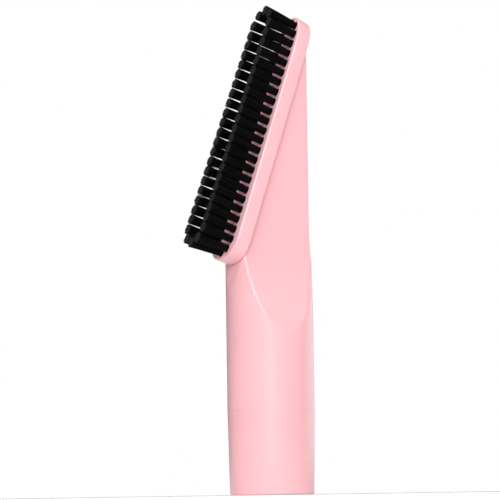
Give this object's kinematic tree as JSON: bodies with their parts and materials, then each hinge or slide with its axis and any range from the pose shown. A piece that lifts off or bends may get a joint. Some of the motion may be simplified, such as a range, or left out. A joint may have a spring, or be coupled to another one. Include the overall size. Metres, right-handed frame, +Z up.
{
  "type": "vacuum cleaner clothes brush nozzle",
  "caption": "Suction clothes brush: a round tube socket that flattens into a wedge, with a slanted oval plate carrying a ring of bristle tufts round a suction slot.",
  "frame": {"origin": "on the surface the brush stands on, under the middle of its bounding box", "axes": "+Z up along the tube's axis, -X the way the bristles face, the object is mirrored about Y = 0"},
  "size_m": [0.0611, 0.04, 0.2262],
  "materials": {
    "body_plastic": "glossy moulded pale pink",
    "collar_plastic": "glossy moulded pale pink",
    "plate_plastic": "glossy moulded pale pink",
    "bristle_nylon": "black nylon filament with cut ends",
    "seal_rubber": "matt dark rubber",
    "ring_steel": "plain spring steel"
  },
  "bodies": {
    "nozzle": {"nozzle_body": "body_plastic"},
    "collar": {"connector_collar": "collar_plastic", "collar_retaining_ring": "ring_steel", "collar_seal_ring": "seal_rubber"},
    "brush_head": {"brush_plate": "plate_plastic", "plate_gasket": "seal_rubber", "bristle_tuft_01": "bristle_nylon", "bristle_tuft_02": "bristle_nylon", "bristle_tuft_03": "bristle_nylon", "bristle_tuft_04": "bristle_nylon", "bristle_tuft_05": "bristle_nylon", "bristle_tuft_06": "bristle_nylon", "bristle_tuft_07": "bristle_nylon", "bristle_tuft_08": "bristle_nylon", "bristle_tuft_09": "bristle_nylon", "bristle_tuft_10": "bristle_nylon", "bristle_tuft_11": "bristle_nylon", "bristle_tuft_12": "bristle_nylon", "bristle_tuft_13": "bristle_nylon", "bristle_tuft_14": "bristle_nylon", "bristle_tuft_15": "bristle_nylon", "bristle_tuft_16": "bristle_nylon", "bristle_tuft_17": "bristle_nylon", "bristle_tuft_18": "bristle_nylon", "bristle_tuft_19": "bristle_nylon", "bristle_tuft_20": "bristle_nylon", "bristle_tuft_21": "bristle_nylon", "bristle_tuft_22": "bristle_nylon", "bristle_tuft_23": "bristle_nylon", "bristle_tuft_24": "bristle_nylon", "bristle_tuft_25": "bristle_nylon", "bristle_tuft_26": "bristle_nylon", "bristle_tuft_27": "bristle_nylon", "bristle_tuft_28": "bristle_nylon", "bristle_tuft_29": "bristle_nylon", "bristle_tuft_30": "bristle_nylon", "bristle_tuft_31": "bristle_nylon", "bristle_tuft_32": "bristle_nylon", "bristle_tuft_33": "bristle_nylon", "bristle_tuft_34": "bristle_nylon", "bristle_tuft_35": "bristle_nylon", "bristle_tuft_36": "bristle_nylon", "bristle_tuft_37": "bristle_nylon", "bristle_tuft_38": "bristle_nylon", "bristle_tuft_39": "bristle_nylon", "bristle_tuft_40": "bristle_nylon", "bristle_tuft_41": "bristle_nylon", "bristle_tuft_42": "bristle_nylon", "bristle_tuft_43": "bristle_nylon", "bristle_tuft_44": "bristle_nylon", "bristle_tuft_45": "bristle_nylon", "bristle_tuft_46": "bristle_nylon", "bristle_tuft_47": "bristle_nylon", "bristle_tuft_48": "bristle_nylon", "bristle_tuft_49": "bristle_nylon", "bristle_tuft_50": "bristle_nylon"}
  },
  "joints": [
    {"name": "collar_swivel", "type": "hinge", "parent": "nozzle", "child": "collar", "pos_m": [0.0098, 0, 0.0385], "axis": [0, 0, 1], "continuous": true},
    {"name": "brush_head_release", "type": "slide", "parent": "nozzle", "child": "brush_head", "axis": [-0.9426, 0, 0.3338], "range_m": [0, 0.012]}
  ]
}
